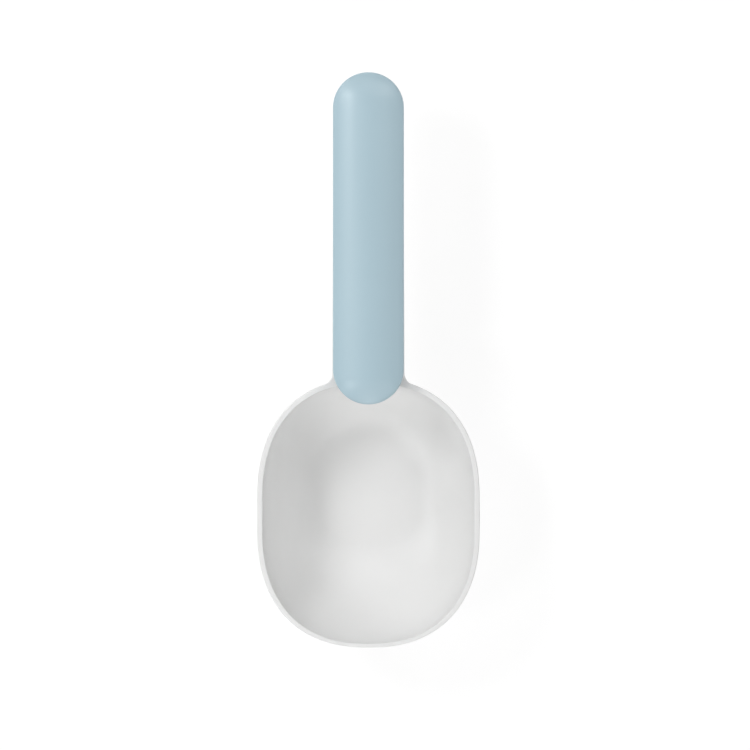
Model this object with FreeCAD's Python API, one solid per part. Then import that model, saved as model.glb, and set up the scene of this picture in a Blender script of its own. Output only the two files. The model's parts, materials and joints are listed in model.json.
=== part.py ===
"""Feed scoop whose handle is also a bag clip.

A white moulded scoop body (an oval bowl with a trough-shaped lower handle) carries a pale blue clip lever.
The lever turns on a steel pin through the lower handle. Its front end overhangs the bowl as a press pad,
and a torsion spring on the pin holds its long rear part shut against the lower handle.

Frame: millimetres, +Z up, origin at the centre of the bowl's flat foot, +Y from the bowl to the handle's end.
"""

import FreeCAD
import Part
import math
import os
from FreeCAD import Vector

# Bowl: an oval rim, lying level at RIM_Z, above a smaller oval foot at z = 0.
# Each oval is two superellipse halves, front and rear, joined by short straight sides.
RIM_Z = 40.0
RIM_HALF_WIDTH = 42.5
RIM_REAR_CENTRE = -3.9
RIM_REAR_REACH = 46.5
RIM_FRONT_CENTRE = -14.5
RIM_FRONT_REACH = 45.7
RIM_POWER = 2.36
FOOT_HALF_WIDTH = 20.0
FOOT_CENTRE_OFFSET = 3.0
FOOT_REACH = 18.0
FOOT_POWER = 2.2
# How full the wall's side profile is: 1 is a straight slope, 2 an ellipse.
SIDE_BULGE = 2.15
REAR_BULGE = 2.25
FRONT_BULGE = 1.55
WALL = 2.1
FRONT_LIP = 1.6
FLOOR = 2.2
FLOOR_INSET = 1.0
RIM_EDGE_ROUND = 0.5
MOUTH_EDGE_ROUND = 0.45
SECTION_STEPS = 20
OVAL_POINTS_PER_HALF = 36

# Handle: the lower shell (part of the scoop body) and the lever above it share one outline from above.
LEVER_FRONT = 32.7
LEVER_REAR = 159.0
LEVER_HALF_WIDTH = 13.5
LEVER_TOP_Z = 53.0
PARTING_Z = 44.5
JAW_GAP = 0.2
SHELL_WALL = 2.0
LEVER_CROWN_RADIUS = 24.0
END_ROLL_LENGTH = 12.0
END_ROLL_DROP = 3.4
END_ROLL_POWER = 2.2
# Each crowned face is a surface through this grid of points, which reaches past the handle's outline.
CROWN_MARGIN = 2.0
CROWN_COLUMNS = 12
CROWN_ROWS = 66
LEVER_EDGE_ROUND = 1.4
LEVER_LIP_ROUND = 0.4

TANG_FRONT = 38.0
TANG_REAR = 158.8
TANG_HALF_WIDTH_AT_BOWL = 13.8
TANG_HALF_WIDTH_AT_END = 13.3
TANG_BOTTOM_Z = 32.5
TANG_CROWN_RADIUS = 34.0
TANG_EDGE_ROUND = 4.5
TANG_NECK_ROUND = 4.5
TROUGH_FRONT = 45.0
TROUGH_EDGE_ROUND = 2.5
TROUGH_CORNER_ROUND = 4.0
# The lower handle's top slopes down to the rim, so that the press pad has room to go down.
SLOPE_FRONT = 43.5
SLOPE_REAR = 63.0
SLOPE_BEND_RADIUS = 15.0

# Pivot of the lever, and the spring around it.
PIVOT_Y = 62.0
PIVOT_Z = 40.5
PIN_RADIUS = 1.5
PIN_LENGTH = 26.8
PIN_CHAMFER = 0.3
LUG_CLEARANCE = 0.05
LUG_INNER_X = 7.4
LUG_THICKNESS = 2.0
LUG_ROUND = 3.6
LUG_FOOT_HALF_LENGTH = 7.0
BOSS_RADIUS = 3.2
BOSS_INNER_X = 9.9

SPRING_WIRE_RADIUS = 0.5
SPRING_COIL_RADIUS = 3.1
SPRING_WHOLE_TURNS = 5
SPRING_PITCH = 1.12
SPRING_LEG_END_Y = 48.6
SPRING_TOUCH = 0.04

# Ribs inside the handle: a long tongue under the lever closes between two long ribs in the trough.
RIB = 1.4
GROOVE_CENTRE_X = 2.6
GROOVE_TOP_Z = 43.4
JAW_RIB_FRONT = 76.0
JAW_RIB_REAR = 150.0
TONGUE_BOTTOM_Z = 42.4
CROSS_RIB_YS = (86.0, 104.0, 122.0, 140.0)
CROSS_RIB_TOP_Z = 38.5
LEVER_CROSS_RIB_BOTTOM_Z = 48.0
SPRING_GUIDE_GAP = 0.25
SPRING_GUIDE_DEPTH = 1.3
SPRING_GUIDE_LENGTH = 6.0

# Cuts and extrusions run this far, past anything on the part.
FAR = 60.0
# Edges are picked out by their bounding boxes, to within this much.
NEAR = 0.1
# An edge longer than this along one axis runs along it.
LONG = 1.0


def blend(a, b, share):
    return a + (b - a) * share


def superellipse(t, power):
    """Point at angle t on a unit superellipse."""
    c, s = math.cos(t), math.sin(t)
    return (
        math.copysign(abs(c) ** (2.0 / power), c),
        math.copysign(abs(s) ** (2.0 / power), s),
    )


def oval_points(half_width, rear_centre, rear_reach, front_centre, front_reach, power, z):
    """Points round an oval at height z: a rear half and a front half with straight sides between them."""
    points = []
    for centre, reach, start in ((rear_centre, rear_reach, 0.0), (front_centre, front_reach, math.pi)):
        for i in range(OVAL_POINTS_PER_HALF + 1):
            x, y = superellipse(start + math.pi * i / OVAL_POINTS_PER_HALF, power)
            points.append(Vector(half_width * x, centre + reach * y, z))
    return points


def shares_along(points):
    """How far round a closed loop each of its points is, from 0 to 1. The last is the first point again."""
    lengths = [a.distanceToPoint(b) for a, b in zip(points, points[1:] + points[:1])]
    return [sum(lengths[:i]) / sum(lengths) for i in range(len(points) + 1)]


def bulge(rise, power):
    """How far out the wall is (0 at the foot, 1 at the rim) where it has risen by this share of its height."""
    return (1.0 - (1.0 - rise) ** power) ** (1.0 / power)


def bowl_section(rise, low_z, inset, front_inset, foot_inset):
    """The bowl's outline where its wall has risen by this share of the way from low_z to the rim."""
    side, rear, front = (bulge(rise, power) for power in (SIDE_BULGE, REAR_BULGE, FRONT_BULGE))
    return oval_points(
        blend(FOOT_HALF_WIDTH - foot_inset, RIM_HALF_WIDTH - inset, side),
        blend(FOOT_CENTRE_OFFSET, RIM_REAR_CENTRE, side),
        blend(FOOT_REACH - foot_inset, RIM_REAR_REACH - inset, rear),
        blend(-FOOT_CENTRE_OFFSET, RIM_FRONT_CENTRE, side),
        blend(FOOT_REACH - foot_inset, RIM_FRONT_REACH - front_inset, front),
        blend(FOOT_POWER, RIM_POWER, rise),
        blend(low_z, RIM_Z, rise),
    )


def filled_bowl(low_z, inset=0.0, front_inset=0.0, foot_inset=0.0):
    """The bowl's filled shape from low_z to the rim, and on upwards as a prism. The insets draw in its inside."""
    rises = [1.0 - math.cos(0.5 * math.pi * i / SECTION_STEPS) for i in range(SECTION_STEPS + 1)]
    sections = [bowl_section(rise, low_z, inset, front_inset, foot_inset) for rise in rises]
    shares = shares_along(sections[-1])
    wires = []
    for points in sections:
        curve = Part.BSplineCurve()
        curve.interpolate(Points=points, PeriodicFlag=True, Parameters=shares)
        wires.append(Part.Wire(curve.toShape()))
    below = Part.makeLoft(wires, True, False)
    above = Part.Face(wires[-1]).extrude(Vector(0, 0, FAR))
    return below.fuse(above)


def stadium_face(front, rear, half_front, half_rear, z):
    """A round-ended strip along Y, which may taper from half_front to half_rear."""
    front_centre = front + half_front
    rear_centre = rear - half_rear
    right_front = Vector(half_front, front_centre, z)
    right_rear = Vector(half_rear, rear_centre, z)
    left_rear = Vector(-half_rear, rear_centre, z)
    left_front = Vector(-half_front, front_centre, z)
    edges = [
        Part.LineSegment(right_front, right_rear),
        Part.Arc(right_rear, Vector(0, rear, z), left_rear),
        Part.LineSegment(left_rear, left_front),
        Part.Arc(left_front, Vector(0, front, z), right_front),
    ]
    return Part.Face(Part.Wire([edge.toShape() for edge in edges]))


def crown_drop(x, radius):
    """How far a crowned face of this radius has fallen at x from the centre line."""
    return radius - math.sqrt(radius**2 - x**2)


def end_drop(y, front, rear):
    """How far a crowned face rolls down near either end of the handle."""
    into = max(front + END_ROLL_LENGTH - y, y - (rear - END_ROLL_LENGTH), 0.0) / END_ROLL_LENGTH
    return END_ROLL_DROP * into**END_ROLL_POWER


def crowned_slab(z, sense, radius, front, rear):
    """All the space below a crowned top face (sense 1), or above a crowned underside (sense -1)."""
    half = LEVER_HALF_WIDTH + CROWN_MARGIN
    grid = []
    for i in range(CROWN_COLUMNS + 1):
        x = blend(-half, half, i / CROWN_COLUMNS)
        line = []
        for j in range(CROWN_ROWS + 1):
            y = blend(front - CROWN_MARGIN, rear + CROWN_MARGIN, j / CROWN_ROWS)
            drop = crown_drop(x, radius) + end_drop(y, front, rear)
            line.append(Vector(x, y, z - sense * drop))
        grid.append(line)
    surface = Part.BSplineSurface()
    surface.interpolate(grid)
    return surface.toShape().extrude(Vector(0, 0, -sense * FAR))


def box(x0, x1, y0, y1, z0, z1):
    return Part.makeBox(x1 - x0, y1 - y0, z1 - z0, Vector(x0, y0, z0))


def rounded_outline(corners):
    """A closed wire at x = 0 through corners given as (y, z, radius). A radius of 0 leaves the corner sharp."""
    starts, ends, middles = [], [], []
    for i, (y, z, radius) in enumerate(corners):
        here = Vector(0, y, z)
        back = Vector(0, *corners[i - 1][:2]).sub(here).normalize()
        onward = Vector(0, *corners[(i + 1) % len(corners)][:2]).sub(here).normalize()
        half_angle = back.getAngle(onward) / 2.0
        reach = radius / math.tan(half_angle)
        starts.append(here + back * reach)
        ends.append(here + onward * reach)
        depth = radius / math.sin(half_angle) - radius
        middles.append(here + (back + onward).normalize() * depth)
    edges = []
    for i, corner in enumerate(corners):
        if corner[2] > 0:
            edges.append(Part.Arc(starts[i], middles[i], ends[i]).toShape())
        edges.append(Part.LineSegment(ends[i], starts[(i + 1) % len(corners)]).toShape())
    return Part.Wire(edges)


def across(corners, x0=-FAR, x1=FAR):
    """A solid whose outline in the YZ plane has the given (y, z, radius) corners, from x0 to x1."""
    face = Part.Face(rounded_outline(corners))
    face.translate(Vector(x0, 0, 0))
    return face.extrude(Vector(x1 - x0, 0, 0))


def pivot_cylinder(radius, x0, x1):
    return Part.makeCylinder(radius, x1 - x0, Vector(x0, PIVOT_Y, PIVOT_Z), Vector(1, 0, 0))


def both_sides(shape):
    """A shape and its mirror image across the YZ plane."""
    return [shape, shape.mirror(Vector(0, 0, 0), Vector(1, 0, 0))]


def filleted(shape, radius, picked):
    """The shape with the edges that the test picks rounded off."""
    return shape.makeFillet(radius, [edge for edge in shape.Edges if picked(edge.BoundBox)])


def lower_handle():
    """The lower handle's filled outer shape: crowned and rounded underneath, and tall on top for trimming."""
    half_front = TANG_HALF_WIDTH_AT_BOWL
    face = stadium_face(TANG_FRONT - half_front, TANG_REAR, half_front, TANG_HALF_WIDTH_AT_END, 0.0)
    prism = face.extrude(Vector(0, 0, FAR))
    solid = prism.common(crowned_slab(TANG_BOTTOM_Z, -1, TANG_CROWN_RADIUS, TANG_FRONT - FAR, TANG_REAR))
    return filleted(solid, TANG_EDGE_ROUND, lambda bounds: bounds.ZMax < RIM_Z)


def body_outside():
    """Bowl and lower handle as one filled solid, with the neck between them filleted all round."""

    def at_neck(bounds):
        narrow = bounds.XMax < TANG_HALF_WIDTH_AT_BOWL + LONG
        at_bowl = TANG_FRONT < bounds.YMin and bounds.YMax < TANG_FRONT + TANG_NECK_ROUND
        return narrow and at_bowl and bounds.ZLength > LONG

    fused = filled_bowl(0.0).fuse(lower_handle())
    return filleted(fused, TANG_NECK_ROUND, at_neck).cut(box(-FAR, FAR, -FAR, FAR, -1.0, 0.0))


def above_body():
    """All the space above the rim, the slope behind it, and the lower handle's level top."""
    return across(
        [
            (-2 * FAR, RIM_Z, 0.0),
            (SLOPE_FRONT, RIM_Z, SLOPE_BEND_RADIUS),
            (SLOPE_REAR, PARTING_Z, SLOPE_BEND_RADIUS),
            (LEVER_REAR + FAR, PARTING_Z, 0.0),
            (LEVER_REAR + FAR, RIM_Z + 2 * FAR, 0.0),
            (-2 * FAR, RIM_Z + 2 * FAR, 0.0),
        ]
    )


def trough():
    """The hollow of the lower handle."""
    half = TANG_HALF_WIDTH_AT_END - SHELL_WALL
    rear = TANG_REAR - SHELL_WALL
    prism = stadium_face(TROUGH_FRONT - half, rear, half, half, 0.0).extrude(Vector(0, 0, FAR))
    prism = prism.common(box(-FAR, FAR, TROUGH_FRONT, LEVER_REAR, 0.0, FAR))
    prism = filleted(
        prism, TROUGH_CORNER_ROUND, lambda bounds: bounds.YMax < TROUGH_FRONT + LONG and bounds.ZLength > LONG
    )
    floor_z = TANG_BOTTOM_Z + SHELL_WALL
    solid = prism.common(crowned_slab(floor_z, -1, TANG_CROWN_RADIUS, TANG_FRONT - FAR, rear))
    return filleted(solid, TROUGH_EDGE_ROUND, lambda bounds: bounds.ZMax < RIM_Z)


def trough_ribs():
    """Long ribs that the lever's tongue closes between, low cross ribs, and the pin's bosses."""
    low = TANG_BOTTOM_Z + SHELL_WALL * 0.5
    half = TANG_HALF_WIDTH_AT_END - SHELL_WALL * 0.5
    near_x = GROOVE_CENTRE_X - RIB / 2
    ribs = both_sides(box(near_x, near_x + RIB, JAW_RIB_FRONT, JAW_RIB_REAR, low, GROOVE_TOP_Z))
    for y in CROSS_RIB_YS:
        ribs.append(box(-half, half, y - RIB / 2, y + RIB / 2, low, CROSS_RIB_TOP_Z))
    ribs.extend(both_sides(pivot_cylinder(BOSS_RADIUS, BOSS_INNER_X, half)))
    return ribs


def on_mouth(bounds):
    """Whether an edge is the inner edge of the bowl's rim."""
    inner = RIM_HALF_WIDTH - WALL
    return bounds.ZMin > RIM_Z - NEAR and abs(bounds.XMax - inner) < LONG / 2


def on_top_edge(bounds):
    """Whether an edge is another one round the body's top, and isn't a fold line straight across it."""
    across_top = bounds.YLength < NEAR and bounds.XLength > LONG
    at_trough = abs(bounds.YMin - TROUGH_FRONT) < NEAR
    return bounds.ZMin > RIM_Z - NEAR and (at_trough or not across_top) and not on_mouth(bounds)


def scoop_body():
    """The white moulding: bowl and lower handle."""
    body = body_outside().cut(filled_bowl(FLOOR, WALL, FRONT_LIP, FLOOR_INSET))
    body = body.cut(trough()).cut(above_body())
    body = filleted(body, RIM_EDGE_ROUND, on_top_edge)
    outside = lower_handle()
    body = body.fuse([rib.common(outside) for rib in trough_ribs()])
    body = body.cut(pivot_cylinder(PIN_RADIUS, -FAR, FAR))
    return filleted(body, MOUTH_EDGE_ROUND, on_mouth)


def lever_prism(inset):
    """The lever's outline, drawn in by the inset, as a tall prism from its lower edge."""
    half = LEVER_HALF_WIDTH - inset
    face = stadium_face(LEVER_FRONT + inset, LEVER_REAR - inset, half, half, PARTING_Z + JAW_GAP)
    return face.extrude(Vector(0, 0, FAR))


def below_lever_top(depth):
    """All the space more than this depth below the lever's crowned top."""
    return crowned_slab(LEVER_TOP_Z - depth, 1, LEVER_CROWN_RADIUS, LEVER_FRONT, LEVER_REAR)


def lug():
    """One of the two plates that hang from the lever to the pin."""
    x1 = LUG_INNER_X + LUG_THICKNESS
    plate = across(
        [
            (PIVOT_Y - LUG_FOOT_HALF_LENGTH, LEVER_TOP_Z, 0.0),
            (PIVOT_Y - LUG_ROUND, PIVOT_Z, 0.0),
            (PIVOT_Y + LUG_ROUND, PIVOT_Z, 0.0),
            (PIVOT_Y + LUG_FOOT_HALF_LENGTH, LEVER_TOP_Z, 0.0),
        ],
        LUG_INNER_X,
        x1,
    )
    return plate.fuse(pivot_cylinder(LUG_ROUND, LUG_INNER_X, x1))


def spring_guides():
    """Two short ribs under the press pad that keep the spring's upper leg in place."""
    leg_x = spring_turns() * SPRING_PITCH / 2
    low = LEVER_TOP_Z - SHELL_WALL - SPRING_GUIDE_DEPTH
    y0 = SPRING_LEG_END_Y - SPRING_GUIDE_LENGTH / 2
    guides = []
    for side in (-1, 1):
        near = leg_x + side * (SPRING_WIRE_RADIUS + SPRING_GUIDE_GAP)
        x0, x1 = sorted((near, near + side * RIB))
        guides.append(box(x0, x1, y0, y0 + SPRING_GUIDE_LENGTH, low, LEVER_TOP_Z))
    return guides


def lever_ribs():
    """Everything inside the lever: lugs, clamping tongue, cross ribs and spring guides."""
    half = LEVER_HALF_WIDTH - SHELL_WALL * 0.5
    ribs = both_sides(lug()) + spring_guides()
    ribs.append(box(-RIB / 2, RIB / 2, JAW_RIB_FRONT, JAW_RIB_REAR, TONGUE_BOTTOM_Z, LEVER_TOP_Z))
    for y in CROSS_RIB_YS:
        ribs.append(box(-half, half, y - RIB / 2, y + RIB / 2, LEVER_CROSS_RIB_BOTTOM_Z, LEVER_TOP_Z))
    return ribs


def clip_lever():
    """The blue moulding: a crowned shell with a press pad over the bowl."""
    lip_z = PARTING_Z + JAW_GAP
    shell = lever_prism(0.0).common(below_lever_top(0.0))
    shell = filleted(shell, LEVER_EDGE_ROUND, lambda bounds: bounds.ZMin > lip_z + LONG)
    shell = filleted(shell, LEVER_LIP_ROUND, lambda bounds: bounds.ZMax < lip_z + NEAR)
    hollow = lever_prism(SHELL_WALL).common(below_lever_top(SHELL_WALL))
    middle = below_lever_top(SHELL_WALL * 0.5)
    lever = shell.cut(hollow).fuse([rib.common(middle) for rib in lever_ribs()])
    return lever.cut(pivot_cylinder(PIN_RADIUS + LUG_CLEARANCE, -FAR, FAR))


def pivot_pin():
    pin = pivot_cylinder(PIN_RADIUS, -PIN_LENGTH / 2, PIN_LENGTH / 2)
    return pin.makeChamfer(PIN_CHAMFER, [edge for edge in pin.Edges if edge.BoundBox.XLength < NEAR])


def leg_angle(end_z, side):
    """The angle round the pin, from +Y towards +Z, at which a leg that ends at end_z leaves the coil."""
    y, z = SPRING_LEG_END_Y - PIVOT_Y, end_z - PIVOT_Z
    return math.atan2(z, y) + side * math.acos(SPRING_COIL_RADIUS / math.hypot(y, z))


def spring_leg_ends():
    """Heights of the ends of the lower leg, on the trough's floor, and the upper leg, under the lever."""
    gap = SPRING_WIRE_RADIUS + SPRING_TOUCH
    leg_x = SPRING_WHOLE_TURNS * SPRING_PITCH / 2
    floor_z = TANG_BOTTOM_Z + SHELL_WALL + crown_drop(leg_x, TANG_CROWN_RADIUS)
    ceiling_z = LEVER_TOP_Z - SHELL_WALL - crown_drop(leg_x + SPRING_WIRE_RADIUS, LEVER_CROWN_RADIUS)
    return floor_z + gap, ceiling_z - gap


def spring_turns():
    low_z, high_z = spring_leg_ends()
    part_turn = (leg_angle(high_z, -1) - leg_angle(low_z, 1)) / (2.0 * math.pi)
    return SPRING_WHOLE_TURNS + part_turn


def torsion_spring():
    """A round wire: a leg along the trough's floor, a coil round the pin, and a leg under the press pad."""
    low_z, high_z = spring_leg_ends()
    turns = spring_turns()
    leg_x = turns * SPRING_PITCH / 2
    coil = Part.makeHelix(SPRING_PITCH, SPRING_PITCH * turns, SPRING_COIL_RADIUS)
    start_turn = FreeCAD.Rotation(Vector(1, 0, 0), math.degrees(leg_angle(low_z, 1)))
    onto_x_axis = FreeCAD.Rotation(Vector(1, 1, 1), 120)
    coil.Placement = FreeCAD.Placement(Vector(-leg_x, PIVOT_Y, PIVOT_Z), start_turn.multiply(onto_x_axis))
    coil_start, coil_end = (vertex.Point for vertex in coil.OrderedVertexes)
    low_end = Vector(-leg_x, SPRING_LEG_END_Y, low_z)
    high_end = Vector(leg_x, SPRING_LEG_END_Y, high_z)
    low_leg = Part.LineSegment(low_end, coil_start).toShape()
    high_leg = Part.LineSegment(coil_end, high_end).toShape()
    path = Part.Wire([low_leg] + coil.Edges + [high_leg])
    section = Part.Wire([Part.makeCircle(SPRING_WIRE_RADIUS, low_end, coil_start.sub(low_end))])
    return path.makePipeShell([section], True, True)


NODES = {
    "scoop_body": scoop_body,
    "clip_lever": clip_lever,
    "pivot_pin": pivot_pin,
    "torsion_spring": torsion_spring,
}


def main():
    os.makedirs("parts", exist_ok=True)
    for node, make in NODES.items():
        shape = make()
        if not shape.isValid() or len(shape.Solids) != 1 or shape.Volume <= 0:
            raise ValueError(node + " is not one good solid")
        shape.Solids[0].exportStep("parts/" + node + ".step")
        print(node, round(shape.Volume, 1), "mm3")


if __name__ == "__main__":
    main()
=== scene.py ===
"""Looks for the feed scoop whose handle is also a bag clip.

The white bowl with its lower handle and the pale blue clip lever have their CAD shapes, with
smoother shading, and the steel pin is the CAD node itself. The torsion spring is a new mesh. The
studio is plain: a pale floor and soft lights, with the camera straight above. All lengths are in
metres.
"""

import json
import math

import bmesh
import bpy
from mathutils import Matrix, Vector


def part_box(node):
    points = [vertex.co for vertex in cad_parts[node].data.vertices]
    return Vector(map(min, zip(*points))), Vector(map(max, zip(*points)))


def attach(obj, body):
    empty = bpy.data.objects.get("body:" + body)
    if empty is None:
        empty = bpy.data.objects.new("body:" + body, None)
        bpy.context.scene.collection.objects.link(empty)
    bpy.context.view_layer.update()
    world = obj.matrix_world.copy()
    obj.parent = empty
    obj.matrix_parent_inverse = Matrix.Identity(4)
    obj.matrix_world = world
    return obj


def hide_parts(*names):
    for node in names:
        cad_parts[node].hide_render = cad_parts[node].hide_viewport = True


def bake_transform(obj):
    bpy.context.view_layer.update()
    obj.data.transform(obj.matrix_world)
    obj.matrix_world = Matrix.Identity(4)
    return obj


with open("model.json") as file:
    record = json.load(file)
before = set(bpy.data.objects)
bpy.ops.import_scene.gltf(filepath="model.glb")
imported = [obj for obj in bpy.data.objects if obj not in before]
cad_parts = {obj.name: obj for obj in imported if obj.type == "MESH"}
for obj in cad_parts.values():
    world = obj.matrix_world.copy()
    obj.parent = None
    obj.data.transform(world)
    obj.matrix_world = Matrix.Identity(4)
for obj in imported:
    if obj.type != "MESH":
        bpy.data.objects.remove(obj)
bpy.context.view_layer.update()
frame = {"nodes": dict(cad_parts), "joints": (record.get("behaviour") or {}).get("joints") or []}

# The camera looks straight down at the rim's height, and the handle points to the picture's top.
CAMERA_AIM = Vector((0.0025, 0.0439, 0.040))
CAMERA_HEIGHT = 2.0
VIEW_WIDTH = 0.2863
SENSOR_WIDTH_MM = 36.0
CLIP_END = 20.0

# Square lights round the object, all facing it from the same distance. Each has its azimuth from
# +X towards +Y and its elevation, both in degrees, then its side's length and its watts.
LIGHT_DISTANCE = 1.0
LIGHT_AIM = Vector((0.0, 0.05, 0.04))
LIGHTS = {
    "key_rear_left": (152, 48, 0.26, 2.90),
    "key_front_left": (213, 51, 0.20, 1.35),
    "low_rear_left": (135, 25, 0.50, 1.75),
    "low_front_left": (225, 25, 0.50, 0.50),
    "high_left": (180, 68, 0.50, 0.45),
    "low_right": (0, 25, 0.50, 0.45),
    "rear_right": (45, 45, 0.50, 2.35),
    "front_right": (315, 45, 0.50, 1.25),
    "low_front": (270, 25, 0.50, 2.10),
    "front": (270, 45, 0.50, 0.90),
    "high_front": (270, 65, 0.50, 0.30),
    "rear": (90, 45, 0.50, 1.15),
}

# The floor is a square just under the foot. It glows, so the object's shadow on it is faint.
FLOOR_HALF = 3.0
FLOOR_DROP = 0.0003
FLOOR_COLOR = (0.25, 0.25, 0.25, 1.0)
FLOOR_GLOW_COLOR = (1.0, 1.0, 1.0, 1.0)
FLOOR_GLOW = 0.80

# The plastics and the wire vary between their own colour and a slightly darker shade of it.
WHITE = (0.865, 0.865, 0.86, 1.0)
WHITE_SHADE = (0.845, 0.846, 0.842, 1.0)
BLUE = (0.450, 0.600, 0.672, 1.0)
BLUE_SHADE = (0.440, 0.588, 0.661, 1.0)
STEEL = (0.62, 0.62, 0.63, 1.0)
WIRE_STEEL = (0.55, 0.55, 0.56, 1.0)
WIRE_SHADE = (0.47, 0.47, 0.48, 1.0)

# The torsion spring's wire, in the CAD model's own numbers.
PIVOT = Vector(frame["joints"][0]["pos_m"])
WIRE_RADIUS = 0.0005
COIL_RADIUS = 0.0031
COIL_PITCH = 0.00112
WHOLE_TURNS = 5
LEG_END_Y = 0.0486

# How finely the wire is drawn, and how much its cut ends are rounded off.
POINTS_PER_TURN = 48
LEG_POINTS = 12
WIRE_SIDES = 16
WIRE_END_ROUND = 0.00012
WIRE_SHARP_ANGLE = math.radians(40)

# On a copied CAD mesh, vertices closer than WELD are one, and edges bent by more than SHARP_ANGLE
# stay sharp. A face weight of 50 is neutral, and 100 leaves the shading to the large faces.
WELD = 0.0000005
SHARP_ANGLE = math.radians(32)
LARGE_FACE_WEIGHT = 100


def link(obj):
    bpy.context.scene.collection.objects.link(obj)
    return obj


def new_material(name, values):
    """A material whose surface shader's sockets have these plain values."""
    material = bpy.data.materials.new(name)
    material.use_nodes = True
    _, _, shader = nodes_of(material)
    for socket, value in values.items():
        shader.inputs[socket].default_value = value
    return material


def nodes_of(material):
    """The material's nodes, its links and its surface shader."""
    tree = material.node_tree
    return tree.nodes, tree.links, tree.nodes["Principled BSDF"]


def noise(material, scale, detail, stretch=(1.0, 1.0, 1.0)):
    """A noise texture in the object's own coordinates, drawn out along an axis whose stretch is small."""
    nodes, links, _ = nodes_of(material)
    place = nodes.new("ShaderNodeTexCoord")
    mapping = nodes.new("ShaderNodeMapping")
    mapping.inputs["Scale"].default_value = stretch
    texture = nodes.new("ShaderNodeTexNoise")
    texture.inputs["Scale"].default_value = scale
    texture.inputs["Detail"].default_value = detail
    links.new(place.outputs["Object"], mapping.inputs["Vector"])
    links.new(mapping.outputs["Vector"], texture.inputs["Vector"])
    return texture.outputs["Fac"]


def spread(material, value, low, high, start=0.3, end=0.7):
    """Maps a noise value onto low to high. Its values lie mostly between start and end."""
    nodes, links, _ = nodes_of(material)
    ramp = nodes.new("ShaderNodeMapRange")
    for name, number in (("From Min", start), ("From Max", end), ("To Min", low), ("To Max", high)):
        ramp.inputs[name].default_value = number
    links.new(value, ramp.inputs["Value"])
    return ramp.outputs["Result"]


def tint(material, value, color_a, color_b):
    """Base colour between two colours, by a value from 0 to 1."""
    nodes, links, shader = nodes_of(material)
    mix = nodes.new("ShaderNodeMix")
    mix.data_type = "RGBA"
    mix.inputs["A"].default_value = color_a
    mix.inputs["B"].default_value = color_b
    links.new(value, mix.inputs["Factor"])
    links.new(mix.outputs["Result"], shader.inputs["Base Color"])


def rough(material, value):
    """Roughness that follows a value."""
    _, links, shader = nodes_of(material)
    links.new(value, shader.inputs["Roughness"])


def bump(material, layers):
    """Stacks bump layers, each given as (height value, strength, distance in metres)."""
    nodes, links, shader = nodes_of(material)
    below = None
    for height, strength, distance in layers:
        layer = nodes.new("ShaderNodeBump")
        layer.inputs["Strength"].default_value = strength
        layer.inputs["Distance"].default_value = distance
        links.new(height, layer.inputs["Height"])
        if below is not None:
            links.new(below, layer.inputs["Normal"])
        below = layer.outputs["Normal"]
    links.new(below, shader.inputs["Normal"])


def white_plastic():
    """Satin white polypropylene: faint flow marks in its tone, and fine scuffs in its gloss."""
    material = new_material("white_plastic", {})
    flow = noise(material, scale=28.0, detail=3.0)
    scuffs = noise(material, scale=320.0, detail=4.0)
    grain = noise(material, scale=5200.0, detail=2.0)
    tint(material, spread(material, flow, low=0.0, high=1.0), WHITE_SHADE, WHITE)
    rough(material, spread(material, scuffs, low=0.39, high=0.45))
    bump(material, [(flow, 0.02, 0.0004), (grain, 0.06, 0.00001)])
    return material


def blue_plastic():
    """Pale blue plastic with the fine even grain of a spark-eroded mould."""
    material = new_material("blue_plastic", {})
    flow = noise(material, scale=22.0, detail=3.0)
    scuffs = noise(material, scale=260.0, detail=4.0)
    grain = noise(material, scale=3600.0, detail=3.0)
    tint(material, spread(material, flow, low=0.0, high=1.0), BLUE_SHADE, BLUE)
    rough(material, spread(material, scuffs, low=0.33, high=0.36))
    bump(material, [(flow, 0.02, 0.0004), (grain, 0.10, 0.000016)])
    return material


def pin_steel():
    """Turned steel: fine rings round the pin's axis."""
    material = new_material("pin_steel", {"Base Color": STEEL, "Metallic": 1.0})
    rings = noise(material, scale=2500.0, detail=2.0, stretch=(1.0, 0.02, 0.02))
    rough(material, spread(material, rings, low=0.2, high=0.32))
    bump(material, [(rings, 0.15, 0.00002)])
    return material


def spring_steel():
    """Drawn spring wire, a little darker than the pin, with a slightly uneven polish."""
    material = new_material("spring_steel", {"Metallic": 1.0})
    polish = noise(material, scale=600.0, detail=3.0)
    tint(material, spread(material, polish, low=0.0, high=1.0), WIRE_SHADE, WIRE_STEEL)
    rough(material, spread(material, polish, low=0.22, high=0.36))
    return material


def paint(node, material):
    """Gives a CAD node a better material."""
    for slot in frame["nodes"][node].material_slots:
        slot.material = material


def resurface(node, piece_name, body, material):
    """A copy of a CAD node's mesh, shaded by its large faces so that thin ones leave no streaks."""
    welded = bmesh.new()
    welded.from_mesh(frame["nodes"][node].data)
    bmesh.ops.remove_doubles(welded, verts=welded.verts, dist=WELD)
    data = bpy.data.meshes.new(piece_name)
    welded.to_mesh(data)
    welded.free()
    data.shade_smooth()
    data.set_sharp_from_angle(angle=SHARP_ANGLE)
    source = link(bpy.data.objects.new(piece_name + "_source", data))
    shading = source.modifiers.new("even_shading", "WEIGHTED_NORMAL")
    shading.keep_sharp = True
    shading.weight = LARGE_FACE_WEIGHT
    shaded = source.evaluated_get(bpy.context.evaluated_depsgraph_get())
    piece = link(bpy.data.objects.new(piece_name, bpy.data.meshes.new_from_object(shaded)))
    bpy.data.objects.remove(source)
    piece.data.materials.append(material)
    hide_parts(node)
    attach(piece, body)


def leg_angle(end_z, side):
    """The angle round the pin, from +Y towards +Z, at which a leg that ends at end_z leaves the coil."""
    y, z = LEG_END_Y - PIVOT.y, end_z - PIVOT.z
    return math.atan2(z, y) + side * math.acos(COIL_RADIUS / math.hypot(y, z))


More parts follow.
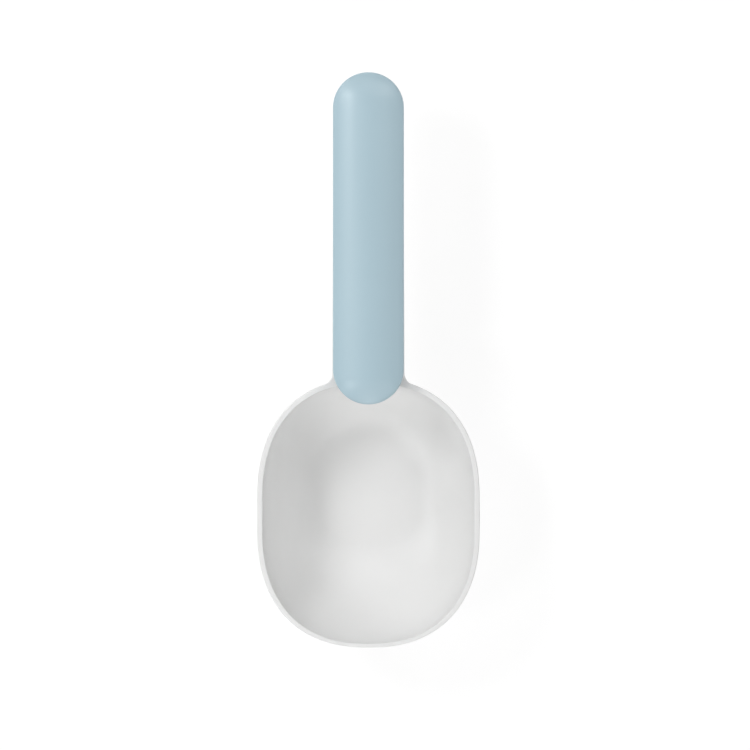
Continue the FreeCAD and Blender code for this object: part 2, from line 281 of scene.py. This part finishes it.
def spring_path():
    """Points along the wire's middle: lower leg, coil, upper leg. The legs end on the CAD spring's box."""
    low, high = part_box("torsion_spring")
    low_z = low.z + WIRE_RADIUS
    high_z = high.z - WIRE_RADIUS
    start, end = leg_angle(low_z, 1), leg_angle(high_z, -1)
    turns = WHOLE_TURNS + (end - start) / math.tau
    leg_x = turns * COIL_PITCH / 2
    count = round(turns * POINTS_PER_TURN)
    coil = []
    for i in range(count + 1):
        share = i / count
        angle = start + share * turns * math.tau
        x = leg_x * (2.0 * share - 1.0)
        y, z = COIL_RADIUS * math.cos(angle), COIL_RADIUS * math.sin(angle)
        coil.append(Vector((x, PIVOT.y + y, PIVOT.z + z)))
    low_end = Vector((-leg_x, LEG_END_Y, low_z))
    high_end = Vector((leg_x, LEG_END_Y, high_z))
    low_leg = [low_end.lerp(coil[0], i / LEG_POINTS) for i in range(LEG_POINTS)]
    high_leg = [coil[-1].lerp(high_end, (i + 1) / LEG_POINTS) for i in range(LEG_POINTS)]
    return low_leg + coil + high_leg


def wire_stations(path):
    """(point, tangent, radius) along the wire. Two stations at each end round it off."""
    tangents = []
    for i in range(len(path)):
        before, after = path[max(i - 1, 0)], path[min(i + 1, len(path) - 1)]
        tangents.append((after - before).normalized())
    first, last = tangents[0], tangents[-1]
    tip_radius = WIRE_RADIUS - WIRE_END_ROUND
    stations = [(path[0], first, tip_radius)]
    stations.append((path[0] + first * WIRE_END_ROUND, first, WIRE_RADIUS))
    stations += [(point, tangent, WIRE_RADIUS) for point, tangent in zip(path[1:-1], tangents[1:-1])]
    stations.append((path[-1] - last * WIRE_END_ROUND, last, WIRE_RADIUS))
    stations.append((path[-1], last, tip_radius))
    return stations


def make_wire(name, path):
    """A round wire along a path, with closed ends."""
    stations = wire_stations(path)
    normal = stations[0][1].orthogonal().normalized()
    mesh = bmesh.new()
    rings = []
    for point, tangent, radius in stations:
        normal = (normal - tangent * normal.dot(tangent)).normalized()
        other = tangent.cross(normal)
        ring = []
        for i in range(WIRE_SIDES):
            turn = math.tau * i / WIRE_SIDES
            outward = normal * math.cos(turn) + other * math.sin(turn)
            ring.append(mesh.verts.new(point + outward * radius))
        rings.append(ring)
    for ring, following in zip(rings, rings[1:]):
        for i in range(WIRE_SIDES):
            j = (i + 1) % WIRE_SIDES
            mesh.faces.new((ring[i], ring[j], following[j], following[i]))
    mesh.faces.new(list(reversed(rings[0])))
    mesh.faces.new(rings[-1])
    data = bpy.data.meshes.new(name)
    mesh.to_mesh(data)
    mesh.free()
    data.shade_smooth()
    data.set_sharp_from_angle(angle=WIRE_SHARP_ANGLE)
    return link(bpy.data.objects.new(name, data))


def make_spring():
    """The spring as a new wire mesh, standing in for the CAD spring, which is hidden."""
    spring = make_wire("spring_wire", spring_path())
    spring.data.materials.append(spring_steel())
    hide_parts("torsion_spring")
    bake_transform(spring)


def make_camera():
    data = bpy.data.cameras.new("camera")
    data.sensor_width = SENSOR_WIDTH_MM
    data.lens = SENSOR_WIDTH_MM * CAMERA_HEIGHT / VIEW_WIDTH
    data.clip_end = CLIP_END
    camera = link(bpy.data.objects.new("camera", data))
    camera.location = CAMERA_AIM + Vector((0.0, 0.0, CAMERA_HEIGHT))
    bpy.context.scene.camera = camera


def make_light(name, azimuth, elevation, size, watts):
    data = bpy.data.lights.new(name, "AREA")
    data.size = size
    data.energy = watts
    light = link(bpy.data.objects.new(name, data))
    a, e = math.radians(azimuth), math.radians(elevation)
    towards = Vector((math.cos(e) * math.cos(a), math.cos(e) * math.sin(a), math.sin(e)))
    light.location = LIGHT_AIM + towards * LIGHT_DISTANCE
    light.rotation_euler = towards.to_track_quat("Z", "Y").to_euler()


def make_floor():
    mesh = bpy.data.meshes.new("floor")
    signs = [(-1, -1), (1, -1), (1, 1), (-1, 1)]
    corners = [(x * FLOOR_HALF, y * FLOOR_HALF, -FLOOR_DROP) for x, y in signs]
    mesh.from_pydata(corners, [], [(0, 1, 2, 3)])
    paper = {
        "Base Color": FLOOR_COLOR,
        "Roughness": 1.0,
        "Specular IOR Level": 0.0,
        "Emission Color": FLOOR_GLOW_COLOR,
        "Emission Strength": FLOOR_GLOW,
    }
    mesh.materials.append(new_material("floor_paper", paper))
    link(bpy.data.objects.new("floor", mesh))


make_camera()
for light_name, settings in LIGHTS.items():
    make_light(light_name, *settings)
make_floor()
resurface("scoop_body", "bowl_and_lower_handle", "scoop", white_plastic())
resurface("clip_lever", "lever_shell", "lever", blue_plastic())
paint("pivot_pin", pin_steel())
make_spring()

# Colours are shown as they are, with no film-like curve.
bpy.context.scene.view_settings.view_transform = "Standard"
